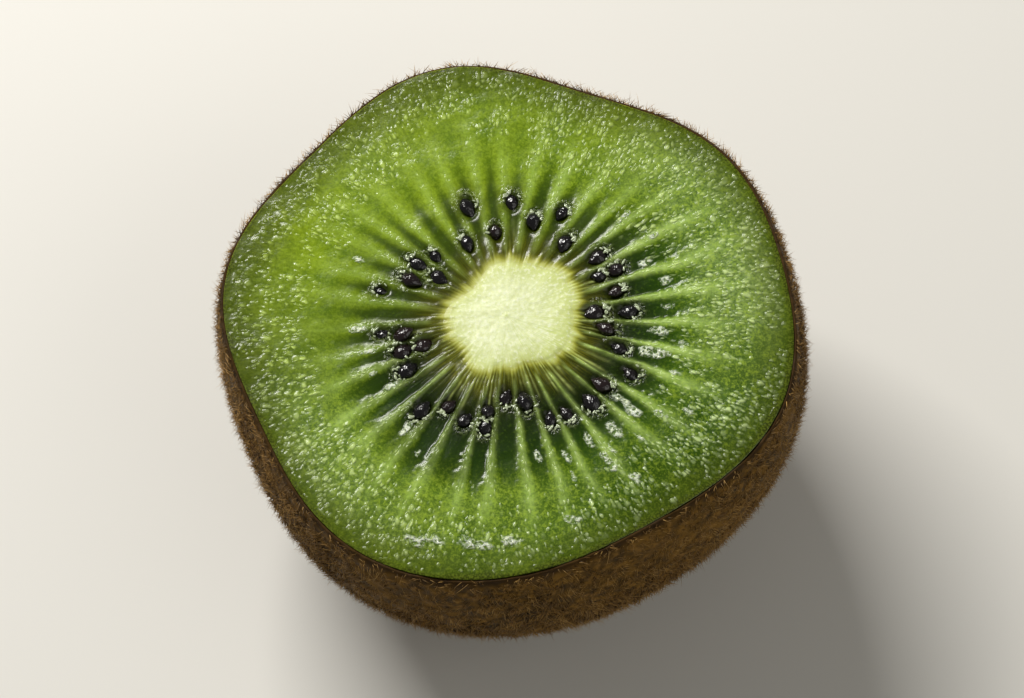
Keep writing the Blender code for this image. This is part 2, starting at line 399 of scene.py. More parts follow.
wall = np.exp(-(from_wall / ((0.17 + 0.42 * down ** 2) * MM)) ** 2)
wall *= (
    smooth(0.1, 0.5, down) * (1 - smooth(0.80, 1.3, reach / tip)) * (0.35 + 0.65 * smooth(0.1, 0.6, ripe_and_shaded))
)
streak = np.exp(-((beside - 0.5) / 0.26) ** 2) * smooth(0.55, 0.8, down)
streak = streak * (1 - smooth(1.0, 1.32, reach / tip))
streak = np.where(reach > tip * 0.75, streak, 0) * (0.75 + 0.5 * beads)
ridge *= smooth(0.0, 0.12, down) * (1 - smooth(0.75, 1.12, reach / tip)) * (0.5 + 0.5 * beads)
fibre = fibres(angle, beyond)
pale = paleness(angle, beyond)

# Dip round each seed, and the gel past its far end
near_seed, gel = np.full(reach.shape, 9.0), np.zeros(reach.shape)
for place_angle, place_reach, size in zip(seed_angle, seed_reach, seed_size):
    east, north = math.cos(place_angle), math.sin(place_angle)
    away = (across * east + along * north - place_reach) / (0.56 * SEED_LENGTH * size)
    aside = (along * east - across * north) / (0.41 * SEED_LENGTH * size)
    apart = np.hypot(away, aside)
    near_seed = np.minimum(near_seed, apart)
    gel = np.maximum(gel, np.exp(-((apart - 1.25) / 0.3) ** 2) * smooth(-0.6, 0.5, away))

# Juice cells, which stand in clumps and reach further in on some sides than on others
cell_apart, cell_number = cells(angle + 0.0 * reach, reach, 0.50 * MM, 0.58 * MM, 8)
skewed = 0.8 * across - 0.6 * along + 0.5 * MM * drift(across / (2 * MM), along / (2 * MM), 57)
askew = 0.6 * across + 0.8 * along + 0.5 * MM * drift(across / (2 * MM), along / (2 * MM), 58)
patchy = drift(skewed / (4.2 * MM), askew / (4.2 * MM), 52)
clusters = drift(askew / (1.7 * MM), skewed / (1.7 * MM), 55)
beaded = round_the_face(angle, 0.9, 0.8, 0.75, 0.78, 0.80, 0.75, 0.70, 0.85, 0.75, 0.45, 0.85, 1.0)
beads_from = round_the_face(angle, 0.56, 0.58, 0.62, 0.68, 0.68, 0.67, 0.70, 0.66, 0.68, 0.74, 0.62, 0.55)

# Darker, paler and shaded stretches, partly the flesh's own tones and partly painted shade and painted light
# Dark patches towards the rim on the riper side: partly the flesh's deep green, partly painted shade
deep = np.exp(-((angle - math.radians(319)) / math.radians(24)) ** 2)
deep = deep * smooth(0.62, 0.82, outward + 0.04 * patchy)
deep = deep * (0.75 + 0.35 * drift(skewed / (2.4 * MM), askew / (2.4 * MM), 56))
deep = np.clip(deep + 0.25 * smooth(0.0, 0.8, clusters + 0.4 * patchy) * smooth(0.66, 0.8, outward), 0, 1)
grid_join = smooth(0.90, 0.97, -np.cos(angle)) + 0 * reach
# Paler veil, set round the face: partly the flesh's own paler look, partly painted light
washed_and_lit = round_the_face(angle, 1.0, 0.6, 0.05, 0.05, 0.15, 0.0, 0.1, 0.45, 0.2, 0.2, 0.05, 0.45)
washed_and_lit = washed_and_lit * smooth(0.60, 0.74, outward)
washed_and_lit = washed_and_lit * (1 - smooth(0.93, 0.99, outward)) * (0.7 + 0.3 * patchy)
# Painted shade, set round the face: a ring out past the seeds, and the outer flesh on some sides
shade = round_the_face(angle, 0.0, 0.14, 0.0, 0.0, 0.0, 0.15, 0.3, 0.42, 0.6, 0.33, 0.22, 0.0)
shade = shade * smooth(0.26, 0.34, outward) * (1 - smooth(0.60, 0.70, outward))
outer_shade = round_the_face(angle, 0, 0, 0, 0, 0, 0, 0.3, 0, 0, 0.05, 0.3, 0.1)
shade = shade + outer_shade * smooth(0.60, 0.74, outward)

# How crisp the cells look
crisp = smooth(beads_from - 0.05, beads_from + 0.14, outward + 0.09 * patchy + 0.07 * clusters)
crisp = np.maximum(crisp, 0.25 * smooth(0.5, 0.7, outward)) * (1 - smooth(0.97, 0.995, outward))
clumped = 1.2 * clusters + 0.8 * patchy + 0.2 + 0.5 * ripe_and_shaded
crisp = crisp * smooth(-1.1 + 0.5 * ripe_and_shaded, 0.5 - 0.1 * ripe_and_shaded, clumped) * beaded
by_the_rim = smooth(0.82, 0.91, outward) * (1 - smooth(0.965, 0.992, outward)) * dull_side(angle)
crisp = np.maximum(crisp, (0.55 + 0.25 * clusters) * by_the_rim)
swell = (1 - smooth(0.1, 0.8, cell_apart)) * (0.4 + 0.6 * cell_number)

# Smears of juice, frayed at their edges
film = np.zeros(reach.shape)
for wet_angle, wet_share, wet_long, wet_wide in WET_SPOTS:
    east, north = math.cos(math.radians(wet_angle)), math.sin(math.radians(wet_angle))
    away = (across * east + along * north) / MM - wet_share * FACE_RADIUS / MM
    aside = (along * east - across * north) / MM
    film = np.maximum(film, np.exp(-(away / wet_long) ** 2 - (aside / wet_wide) ** 2))
frayed = drift(across / (0.9 * MM), along / (0.9 * MM), 71)
frayed = frayed + 0.7 * drift(across / (0.42 * MM), along / (0.42 * MM), 72)
film = smooth(0.42, 0.66, film + 0.42 * frayed * smooth(0.1, 0.3, film))
# Lighter green on the dull side: partly the flesh's own colour, partly painted light
bright = dull_side(angle) * smooth(0.44, 0.58, outward) * (1 - smooth(0.74, 0.92, outward + 0.05 * patchy))
bright = np.clip(bright + 0.35 * patchy * smooth(0.5, 0.6, outward), 0, 1)
rind_band = smooth(0.965 + 0.015 * (1 - ripe_and_shaded), 0.998, outward + 0.010 * clusters)

# Relief, in mm
height = ground(across, along, pale) + 0.08 * ripe_and_shaded * np.sin(math.pi * smooth(0.45, 1.0, share))
height = height - 0.12 * sunken * (0.15 + 0.85 * ripe_and_shaded) + 0.07 * ridge * (0.25 + 0.75 * ripe_and_shaded)
height = height + 0.07 * fibre * smooth(0.0, 0.5, beyond) * (0.05 + 0.95 * ripe_and_shaded)
height = height + 0.03 * swell * crisp + 0.05 * film * (0.6 + frayed)
rumple = drift(across / (0.4 * MM), along / (0.4 * MM), 54)
height = height + 0.06 * gel * (0.6 + rumple)
height = height - 0.30 * np.exp(-(near_seed / 0.95) ** 4)
height = height - 0.06 * smooth(0.2, 0.8, ripe_and_shaded) * smooth(0.995, 1.0, outward) ** 2
height = height - 0.5 * (1 - smooth(-0.80, -0.45, beyond))

face = placed(angle, reach, CUT + height * MM)
under_shares = np.array([0.012, 0.05, 0.15, 0.3, 0.5, 0.7, 0.85, 0.95])[:, None]
under_reach = FACE_RADIUS * body_outline(angle, under_shares) - PEEL_THICKNESS * 1.6
under = placed(angle, under_reach, CUT - (FULL_DEPTH - 1.2 * MM) * under_shares)
well = placed(angle, start_edge, np.full_like(angle, CUT - 1.5 * MM))
flesh_points = np.concatenate([well, face, under])
flesh_mesh = turned_mesh(
    "cut_flesh", flesh_points,
    (AXIS_X, AXIS_Y, CUT - 1.5 * MM), (AXIS_X, AXIS_Y, CUT - FULL_DEPTH * 0.97 + 1.2 * MM),
)
flesh_mesh.set_sharp_from_angle(angle=math.radians(55))
for layer_name, layer_values in (
    ("outward", outward), ("sunken", sunken), ("ridge", ridge), ("fibre", fibre), ("pale", pale),
    ("near_seed", np.exp(-(near_seed / 1.65) ** 2)), ("gel", gel), ("film", film), ("crisp", crisp),
    ("rind_band", rind_band), ("ripe_and_shaded", ripe_and_shaded), ("beyond_core", beyond), ("deep", deep), ("wall", wall),
    ("bright", bright), ("streak", streak), ("washed_and_lit", washed_and_lit), ("grid_join", grid_join), ("shade", shade),
):
    paint_loops(flesh_mesh, layer_name, flesh_points, slice(1, 1 + FACE_LOOPS), layer_values)
face_size = (cad_high.x - cad_low.x, cad_high.y - cad_low.y)
hidden_loops = [0, *range(1 + FACE_LOOPS, len(flesh_points))]
flat_map(flesh_mesh, flesh_points, face_size, 0.5, hidden_loops, (True, True))


def vectors(tree, first, second, operation):
    """Two vectors put together."""
    return step_node(tree, "ShaderNodeVectorMath", {0: first, 1: second}, operation=operation).outputs[0]


def place_on(tree):
    """Place on the piece, in metres."""
    return step_node(tree, "ShaderNodeTexCoord").outputs["Object"]


def round_spots(tree, across_cells, along_cells, turned=1):
    """Place on the face as cells round the axis and cells out from it; turned=-1 moves the join."""
    apart = vectors(tree, place_on(tree), (AXIS_X, AXIS_Y, 0.0), "SUBTRACT")
    flat = step_node(tree, "ShaderNodeSeparateXYZ", {0: apart}).outputs
    turn = times(tree, times(tree, flat[1], turned), times(tree, flat[0], turned), "ARCTAN2")
    level = step_node(tree, "ShaderNodeCombineXYZ", {0: flat[0], 1: flat[1]}).outputs[0]
    away = step_node(tree, "ShaderNodeVectorMath", {0: level}, operation="LENGTH").outputs["Value"]
    return step_node(tree, "ShaderNodeCombineXYZ", {
        0: times(tree, turn, across_cells / math.tau), 1: times(tree, away, along_cells),
    }).outputs[0]


def noise(tree, spot, scale, detail=2.0):
    """Even noise from 0 to 1, with so many features to each unit of the place."""
    made = step_node(tree, "ShaderNodeTexNoise", {"Vector": spot, "Scale": scale, "Detail": detail})
    return made.outputs["Fac"]


def micro_noise(tree, spot, size, detail=2.0):
    """Even noise with features of about a given size."""
    return noise(tree, spot, 1 / size, detail)


def coats(tree, colour, *layers):
    """Colours laid one over another, each by its own share."""
    for share, over in layers:
        colour = blend(tree, share, colour, over)
    return colour


def bumped(tree, height, strength, deep, under=None):
    """Surface tipped by a pattern so deep, on top of what another pattern has tipped."""
    inputs = {"Height": height, "Strength": strength, "Distance": deep}
    if under is not None:
        inputs["Normal"] = under
    return step_node(tree, "ShaderNodeBump", inputs).outputs["Normal"]


CREAM, CREAM_EDGE = rgb(218, 225, 180), rgb(194, 204, 128)


def cream_grain(tree, cream):
    """The core's cream with its clouds, hairs and fine grain."""
    spot = place_on(tree)
    fine, cloud = micro_noise(tree, spot, 0.3 * MM, 3.0), micro_noise(tree, spot, 2.4 * MM)
    hairs = noise(tree, round_spots(tree, 260, 900.0), 1.0)
    cream = coats(
        tree, cream,
        (ramp(tree, cloud, 0.4, 0.7, 0.0, 0.3), rgb(204, 212, 150)),
        (ramp(tree, hairs, 0.5, 0.75, 0.0, 0.3), rgb(236, 240, 208)),
        (ramp(tree, fine, 0.50, 0.68, 0.0, 0.5), rgb(240, 243, 218)),
        (ramp(tree, fine, 0.50, 0.32, 0.0, 0.35), rgb(190, 198, 124)),
    )
    return cream, fine, hairs


def olive_flesh(tree, thread):
    """Dark olive flesh between the core and the seeds, with its radial threads."""
    return coats(
        tree, rgb(60, 62, 4),
        (ramp(tree, thread, 0.40, 0.70), rgb(104, 104, 14)),
        (ramp(tree, number_of(tree, "ripe_and_shaded"), 0.1, 0.8, 0.6, 0.0), rgb(66, 66, 2)),
    )


def threads(tree):
    """Fine noise drawn out from the axis."""
    return noise(tree, round_spots(tree, 420, 600.0), 1.0, 3.0)


def heart_colour(tree, under, cream):
    """The core's cream over what lies under it, as far as it shows, with its fibres on top."""
    share = number_of(tree, "pale")
    fibre_share = times(
        tree, number_of(tree, "fibre"), ramp(tree, number_of(tree, "ripe_and_shaded"), 0.1, 0.8, 0.25, 0.8),
    )
    return coats(
        tree, under,
        (ramp(tree, share, 0.0, 0.55), rgb(164, 166, 62)),
        (ramp(tree, share, 0.3, 0.95), cream),
        (fibre_share, rgb(188, 202, 116)),
    )


def cut_cells(tree, round_count, long, share):
    """Juice cells sliced open, flat ovals laid outwards round the axis, more of them the larger the
    share. Two grids take turns, since each has a join where it meets itself."""
    join, height = number_of(tree, "grid_join"), 0.0
    for turned, kept in ((1, times(tree, 1.0, join, "SUBTRACT")), (-1, join)):
        laid = round_spots(tree, round_count, 1 / long, turned)
        stray = step_node(tree, "ShaderNodeTexNoise", {"Vector": laid, "Scale": 0.7, "Detail": 1.0})
        stray = vectors(tree, stray.outputs["Color"], (0.5, 0.5, 0.5), "SUBTRACT")
        laid = vectors(tree, laid, vectors(tree, stray, (1.1, 1.1, 1.1), "MULTIPLY"), "ADD")
        cell = step_node(
            tree, "ShaderNodeTexVoronoi", {"Vector": laid, "Scale": 1.0}, voronoi_dimensions="2D",
        )
        odds = step_node(tree, "ShaderNodeSeparateColor", {0: cell.outputs["Color"]})
        there = ramp(tree, times(tree, odds.outputs[0], times(tree, share, kept), "ADD"), 1.0, 1.3)
        tall_share = ramp(tree, odds.outputs[1], 0.1, 1.0, 0.30, 1.0)
        oval = ramp(tree, cell.outputs["Distance"], 0.50, 0.10)
        height = times(tree, height, times(tree, oval, times(tree, there, tall_share)), "MAXIMUM")
    return height


flesh_look, tree, shader = new_look("wet green flesh", rgb(122, 150, 42), 0.4, {
    "Subsurface Weight": 0.35, "Subsurface Radius": (0.9, 1.0, 0.3), "Subsurface Scale": 0.6 * MM,
    "IOR": 1.36, "Specular IOR Level": 0.38,
})
from_axis, ripe_and_shaded_share, crisp_share = (number_of(tree, key) for key in ("outward", "ripe_and_shaded", "crisp"))
film_share, gel_share, on_wall = (number_of(tree, key) for key in ("film", "gel", "wall"))
spot = place_on(tree)
broad = micro_noise(tree, spot, 7 * MM)
mottle = micro_noise(tree, spot, 1.1 * MM, 3.0)
fine = micro_noise(tree, spot, 0.33 * MM)
grain = micro_noise(tree, spot, 0.17 * MM)
thread = threads(tree)
large_share = times(tree, crisp_share, ramp(tree, ripe_and_shaded_share, 0.3, 0.9, 0.75, 0.45))
large_cells = cut_cells(tree, 215, 0.88 * MM, large_share)
small_share = times(tree, crisp_share, ramp(tree, from_axis, 0.6, 0.93, 0.6, 1.0))
small_share = times(tree, small_share, times(tree, on_wall, 0.65), "MAXIMUM")
small_cells = cut_cells(tree, 370, 0.55 * MM, small_share)
pebble = times(tree, large_cells, times(tree, small_cells, 0.75), "MAXIMUM")

# Greens of the outer flesh, from the plain ground up
colour = coats(
    tree, rgb(118, 142, 12),
    (ramp(tree, from_axis, 0.55, 0.97), rgb(88, 106, 10)),
    (ramp(tree, broad, 0.38, 0.62, 0.0, 0.6), rgb(128, 150, 18)),
    (ramp(tree, mottle, 0.40, 0.66, 0.0, 0.45), rgb(84, 106, 6)),
    (ramp(tree, thread, 0.48, 0.70, 0.0, 0.35), rgb(146, 170, 50)),
    (ramp(tree, thread, 0.48, 0.30, 0.0, 0.35), rgb(78, 102, 6)),
    # Deeper green on the riper side: partly the flesh's own colour, partly painted shade
    (times(tree, ripe_and_shaded_share, 0.65), rgb(58, 100, 6)),
    # Lighter green on the dull side: partly painted light
    (times(tree, number_of(tree, "bright"), 0.42), rgb(140, 166, 28)),
    # Paler veil: partly painted light
    (times(tree, number_of(tree, "washed_and_lit"), 0.72), rgb(182, 206, 126)),
    # Dark patches towards the rim: partly painted shade
    (times(tree, number_of(tree, "deep"), 0.85), rgb(26, 56, 6)),
    (times(tree, number_of(tree, "streak"), 0.45), rgb(62, 96, 6)),
    # Darker ground between the cells on the riper side: painted shade between the raised cells
    (times(tree, times(tree, crisp_share, ripe_and_shaded_share), 0.45), rgb(36, 78, 6)),
)
grainy = ramp(tree, ripe_and_shaded_share, 0.0, 0.8, 0.45, 1.0)
for pattern, lightest, darkest in ((fine, 0.34, 0.42), (grain, 0.26, 0.32)):
    light = ramp(tree, pattern, 0.50, 0.66, 0.0, lightest)
    dark = ramp(tree, pattern, 0.50, 0.34, 0.0, darkest)
    colour = blend(tree, times(tree, light, grainy), colour, rgb(168, 192, 56))
    colour = blend(tree, times(tree, dark, grainy), colour, rgb(50, 76, 4))

# Pockets, olive ring, pale walls and the dark round the seeds
pocket_colour = coats(
    tree, rgb(22, 36, 2),
    (ramp(tree, from_axis, 0.34, 0.72), rgb(38, 70, 3)),
    # Paler pockets away from the riper side: partly painted light
    (ramp(tree, ripe_and_shaded_share, 0.1, 0.8, 0.8, 0.0), rgb(60, 80, 2)),
    (ramp(tree, fine, 0.52, 0.74, 0.0, 0.3), rgb(92, 124, 22)),
)
wall_grain = times(tree, ramp(tree, fine, 0.34, 0.58, 0.45, 0.75), ramp(tree, thread, 0.36, 0.60, 0.6, 1.0))
ridge_share = times(tree, number_of(tree, "ridge"), ramp(tree, ripe_and_shaded_share, 0.1, 0.7, 0.2, 0.85))
colour = coats(
    tree, colour,
    (number_of(tree, "sunken"), pocket_colour),
    (ramp(tree, number_of(tree, "beyond_core"), 0.5, 4.6, 0.95, 0.0), olive_flesh(tree, thread)),
    (times(tree, on_wall, wall_grain), rgb(150, 182, 82)),
    (ridge_share, rgb(180, 204, 116)),
    # Painted shade
    (number_of(tree, "shade"), rgb(24, 42, 4)),
    # Dark round the seeds: partly the flesh's own dark, partly painted shade in the dip they sit in
    (times(tree, number_of(tree, "near_seed"), 0.92), rgb(20, 26, 3)),
)
colour = heart_colour(tree, colour, cream_grain(tree, CREAM_EDGE)[0])

# Cut cells, gel, smears of juice and the green rind under the peel. The white curls on the smears, the
# smears' paler veil and part of the torn gel's pale are painted highlights.
loose_end = times(tree, micro_noise(tree, spot, 0.75 * MM, 1.5), 0.5, "SUBTRACT")
curl = ramp(tree, times(tree, loose_end, loose_end), 0.085 ** 2, 0.03 ** 2)
curl = times(tree, curl, ramp(tree, fine, 0.36, 0.52, 0.35, 1.0))
curl = times(tree, curl, ramp(tree, fine, 0.48, 0.58, 0.0, 0.9), "MAXIMUM")
torn_gel = times(tree, gel_share, ramp(tree, fine, 0.45, 0.65, 0.0, 0.4))
# Cell tops pale green, whiter on the riper side: the extra white is a painted highlight
bead_and_glint_colour = blend(tree, ripe_and_shaded_share, rgb(178, 200, 98), rgb(208, 228, 160))
rind_colour = blend(tree, ramp(tree, grain, 0.40, 0.60), rgb(44, 50, 6), rgb(86, 98, 26))
colour = coats(
    tree, colour,
    (times(tree, pebble, 0.92), bead_and_glint_colour),
    # Pale torn gel: partly the gel's own colour, partly painted highlight
    (torn_gel, rgb(150, 164, 110)),
    # Paler veil on the smears: painted sheen
    (times(tree, film_share, 0.35), rgb(132, 160, 92)),
    # White curls on the smears: painted highlights
    (times(tree, film_share, times(tree, curl, 0.95)), rgb(222, 230, 208)),
    (ramp(tree, from_axis, 0.82, 0.98, 0.0, 0.6), rgb(60, 70, 6)),
    (times(tree, number_of(tree, "rind_band"), 0.8), rind_colour),
)
tree.links.new(colour, shader.inputs["Base Color"])

# Gloss, and the finest relief
wetness = times(tree, gel_share, times(tree, number_of(tree, "ridge"), 0.35), "MAXIMUM")
wetness = times(tree, film_share, wetness, "MAXIMUM")
dull = ramp(tree, number_of(tree, "pale"), 0.1, 0.8, 0.20, 0.42)
tree.links.new(times(tree, dull, ramp(tree, wetness, 0.0, 0.7, 1.0, 0.65)), shader.inputs["Roughness"])
rippled = times(tree, ramp(tree, wetness, 0.0, 0.8, 0.05, 1.0), times(tree, crisp_share, 0.08), "ADD")
ripples = times(tree, rippled, times(tree, fine, 0.5, "SUBTRACT"))
ripples = times(tree, ripples, times(tree, times(tree, film_share, curl), 0.25), "ADD")
strands = times(tree, thread, ramp(tree, from_axis, 0.45, 0.66, 0.4, 0.1))
strands = times(tree, strands, ramp(tree, ripe_and_shaded_share, 0.0, 0.8, 0.1, 1.0))
bump = bumped(tree, ripples, 1.0, 0.30 * MM)
bump = bumped(tree, pebble, 1.0, 0.10 * MM, bump)
bump = bumped(tree, strands, 0.5, 0.09 * MM, bump)
tree.links.new(bump, shader.inputs["Normal"])
add_piece("cut_flesh", flesh_mesh, flesh_look, ("outer_flesh", "seed_ring"))


# ---- Core --------------------------------------------------------------------------------------
# The pale heart of the fruit: firm, dry-looking and fibrous, a little proud of the flesh, with a
# rim of fine teeth where its fibres run out between the seeds.

CORE_SIDES = 480
CORE_LOOPS = 40
CORE_DEPTH = 24.2 * MM

angle = np.arange(CORE_SIDES)[None, :] * math.tau / CORE_SIDES
share = np.linspace(0.02, 1, CORE_LOOPS)[:, None] ** 0.8
rim = CORE_RADIUS * (1 + waves(angle, CORE_LOBES)) + 0.1 * MM
reach = rim * share
beyond = (reach - rim) / MM + 0.1
across, along = reach * np.cos(angle), reach * np.sin(angle)
pale, fibre = paleness(angle, beyond), fibres(angle, beyond)
grain = drift(angle * 60 / math.tau, reach / (0.5 * MM), 11, 60) * smooth(0.15, 0.5, share)
pith = drift(across / (0.33 * MM), along / (0.33 * MM), 12)
pith = pith + 0.6 * drift(across / (0.8 * MM), along / (0.8 * MM), 13)
height = ground(across, along, pale) + 0.03 - 0.06 * smooth(-0.6, 0.1, beyond) + 0.12 * (1 - share ** 2)
height = height + (0.012 * grain + 0.014 * pith) * smooth(0.0, -0.5, beyond)
top = placed(angle, reach, CUT + height * MM)
wall_depth = np.array([0.8, 2.2, 6.0, 12.0, 18.0, 21.5, 23.5])[:, None] * MM
wall_share = (1 - (wall_depth / CORE_DEPTH) ** 3) ** (1 / 3)
lobed = 1 + waves(angle, CORE_LOBES) * np.exp(-wall_depth / (12 * MM))
side = placed(angle, CORE_RADIUS * lobed * wall_share - 0.3 * MM, CUT - wall_depth)
core_points = np.concatenate([top, side])
core_mesh = turned_mesh(
    "core_heart", core_points, (AXIS_X, AXIS_Y, CUT + 0.5 * MM), (AXIS_X, AXIS_Y, CUT - 24.0 * MM),
)
out_share = np.ones(core_points.shape[:2], np.float32)
out_share[:CORE_LOOPS] = share
paint(core_mesh, "outward", np.append(out_share.ravel(), [0, 1]))
for layer_name, layer_values in (("pale", pale), ("fibre", fibre), ("ripe_and_shaded", ripeness_and_shade(angle, across, along))):
    paint_loops(core_mesh, layer_name, core_points, slice(CORE_LOOPS), layer_values, (1, 0))
flat_map(core_mesh, core_points, 15 * MM, (0.45, 0.5), slice(CORE_LOOPS, None), (False, True))

core_look, tree, shader = new_look("pale core", CREAM, 0.5, {
    "IOR": 1.35, "Subsurface Weight": 0.2, "Subsurface Radius": (1.0, 0.9, 0.5),
    "Subsurface Scale": 0.5 * MM,
})
cream = blend(tree, ramp(tree, number_of(tree, "outward"), 0.45, 0.95), CREAM, CREAM_EDGE)
cream, fine, hairs = cream_grain(tree, cream)
under = olive_flesh(tree, threads(tree))
tree.links.new(heart_colour(tree, under, cream), shader.inputs["Base Color"])
tree.links.new(ramp(tree, number_of(tree, "pale"), 0.1, 0.8, 0.20, 0.45), shader.inputs["Roughness"])
bump = bumped(tree, fine, 0.5, 0.06 * MM)
bump = bumped(tree, hairs, 0.15, 0.05 * MM, bump)
tree.links.new(bump, shader.inputs["Normal"])
add_piece("core_heart", core_mesh, core_look, ("core",))


# ---- Peel --------------------------------------------------------------------------------------
# A thin leathery skin, brown and a little rough, that wraps the half from the cut down to the
# stem end, where it dips into a shallow hollow round the scar of the stalk.

PEEL_SIDES = 600
PEEL_LEVELS = 104

angle = np.arange(PEEL_SIDES)[None, :] * math.tau / PEEL_SIDES
sweep = math.acos((FOOT_RADIUS / FACE_RADIUS) ** (BODY_FULLNESS / 2))
depth = np.sin(np.linspace(0.012, 1, PEEL_LEVELS)[:, None] * sweep) ** (2 / BODY_FULLNESS)


def peel_surface(angle, depth):
    """Outside of the peel without its roughness: distance from the axis and height."""
    return FACE_RADIUS * body_outline(angle, depth), CUT - FULL_DEPTH * depth


reach, level = peel_surface(angle, depth)
step_reach, step_level = peel_surface(angle, np.minimum(depth + 0.002, FOOT_SHARE + 0.002))
lean_out, lean_up = level - step_level, step_reach - reach
long_way = np.hypot(lean_out, lean_up)
lean_out, lean_up = lean_out / long_way, lean_up / long_way
down_way = np.arcsin(np.clip(depth ** (BODY_FULLNESS / 2), 0, 1)) * 32 * MM
lumps = 0.14 * drift(angle * 26 / math.tau, down_way / (5.5 * MM), 14, 26)
lumps = lumps + 0.06 * drift(angle * 75 / math.tau, down_way / (1.9 * MM), 15, 75)
wrinkle = drift(angle * 190 / math.tau, down_way / (0.55 * MM), 16, 190)
pores = drift(angle * 300 / math.tau, down_way / (0.42 * MM), 17, 300)
rough = (lumps + 0.035 * wrinkle + 0.035 * pores) * MM
rough = rough * smooth(0.0, 0.05, depth) * (1 - smooth(FOOT_SHARE - 0.02, FOOT_SHARE, depth))
outside = placed(angle, reach + lean_out * rough, np.maximum(level + lean_up * rough, 0.0))
outside[-1, :, 2] = 0.0

lip_reach = FACE_RADIUS * body_outline(angle, 0.0)
lip_wave = 0.04 * MM * drift(angle * 150 / math.tau, np.zeros_like(angle), 18, 150)
lip = np.concatenate([
    placed(angle, lip_reach - 0.31 * MM, CUT - 0.26 * MM + lip_wave),
    placed(angle, lip_reach - 0.24 * MM, CUT - 0.15 * MM + lip_wave),
    placed(angle, lip_reach - 0.13 * MM, CUT - 0.14 * MM + lip_wave),
    placed(angle, lip_reach - 0.04 * MM, CUT - 0.21 * MM + lip_wave),
])
foot_profile = (
    (6.6, 0.0), (5.4, 0.0), (4.4, 0.0), (3.75, 0.02), (3.45, 0.16),
    (3.1, 0.5), (2.7, 0.82), (2.2, 1.0), (1.6, 1.06), (0.8, 1.08),
)
foot = []
for out, up in foot_profile:
    uneven = 0.04 * MM * (up > 0.1) * drift(angle * 40 / math.tau, angle * 0 + out * 3, 19, 40)
    foot.append(placed(angle, np.full_like(angle, out * MM), up * MM + uneven))
lining_depth = np.array([0.93, 0.8, 0.6, 0.4, 0.2, 0.06])[:, None]
lining_reach, lining_level = peel_surface(angle, lining_depth)
lining = placed(angle, lining_reach - PEEL_THICKNESS, np.maximum(lining_level, 0.0) + 0.5 * MM * lining_depth)
lining_end = placed(angle, np.full_like(angle, 5.0 * MM), np.full_like(angle, 1.9 * MM))
inner_lip = placed(angle, lip_reach - 0.34 * MM, np.full_like(angle, CUT - 0.5 * MM))

# Closed shell: loops from the tip inside the cup, over its lip, to the tip outside
peel_points = np.concatenate([lining_end, lining, inner_lip, lip, outside, *foot])
peel_mesh = turned_mesh("peel", peel_points, (AXIS_X, AXIS_Y, 1.9 * MM), (AXIS_X, AXIS_Y, 1.08 * MM))
shown_from = 1 + len(lining) + 1
outside_from = shown_from + len(lip)
down_share = np.zeros(peel_points.shape[:2], np.float32)
down_share[outside_from:outside_from + PEEL_LEVELS] = depth
down_share[outside_from + PEEL_LEVELS:] = 1.0
paint(peel_mesh, "down", np.append(down_share.ravel(), [0, 1]))

# Flat map: the outside as a disc round the foot, the hidden lining as a small one in a corner
fall = np.concatenate([[0.0], np.cumsum(np.linalg.norm(np.diff(peel_points[:, 0], axis=0), axis=-1))])
hidden_fall = fall[shown_from - 1]
fall = np.append(np.repeat(fall, PEEL_SIDES), [0.0, fall[-1]])
map_turn = np.append(np.tile(angle[0] / math.tau, len(peel_points)), [0.5, 0.5]) * math.tau
shown = fall >= hidden_fall
disc = np.where(shown, (fall[-1] - fall) / (fall[-1] - hidden_fall), 0.25 * fall / hidden_fall)
map_middle = np.where(shown, 0.5, 0.06)
map_reach = np.where(shown, 0.495, 0.22) * disc
lay_map(peel_mesh, np.stack([
    map_middle + map_reach * np.cos(map_turn), map_middle + map_reach * np.sin(map_turn),
], -1))

peel_look, tree, shader = new_look("brown peel", rgb(112, 80, 44), 0.7, {"Specular IOR Level": 0.15})
spot = place_on(tree)
patches = step_node(tree, "ShaderNodeTexNoise", {
    "Vector": spot, "Scale": 95.0, "Detail": 4.0, "Roughness": 0.6,
}).outputs["Fac"]
scurf = noise(tree, spot, 900.0, 3.0)
specks = step_node(tree, "ShaderNodeTexVoronoi", {"Vector": spot, "Scale": 620.0}).outputs["Distance"]
tufts = micro_noise(tree, spot, 0.85 * MM)
from_cut = number_of(tree, "down")
colour = coats(
    tree, rgb(70, 50, 12),
    (ramp(tree, patches, 0.30, 0.70), rgb(98, 70, 20)),
    (ramp(tree, tufts, 0.50, 0.68, 0.0, 0.6), rgb(138, 102, 44)),
    (ramp(tree, tufts, 0.50, 0.34, 0.0, 0.5), rgb(48, 35, 8)),
    (ramp(tree, scurf, 0.42, 0.68, 0.0, 0.5), rgb(132, 98, 40)),
    (ramp(tree, specks, 0.30, 0.12, 0.0, 0.5), rgb(40, 29, 8)),
    (ramp(tree, from_cut, 0.035, 0.0, 0.0, 0.85), rgb(46, 30, 8)),
    (ramp(tree, from_cut, 0.90, 1.0, 0.0, 0.5), rgb(78, 58, 32)),
)
tree.links.new(colour, shader.inputs["Base Color"])
tree.links.new(ramp(tree, scurf, 0.3, 0.7, 0.6, 0.9), shader.inputs["Roughness"])
bump = bumped(tree, scurf, 0.6, 0.15 * MM)
bump = bumped(tree, specks, 0.4, 0.12 * MM, bump)
bump = bumped(tree, tufts, 0.7, 0.35 * MM, bump)
tree.links.new(bump, shader.inputs["Normal"])
add_piece("peel", peel_mesh, peel_look, ("outer_flesh",))


# ---- Fuzz --------------------------------------------------------------------------------------
# Dead brown hairs on the peel: a close stubble of short ones, and longer, finer wisps that bend
# over it and stand out along the edges. Each is a solid little spike.

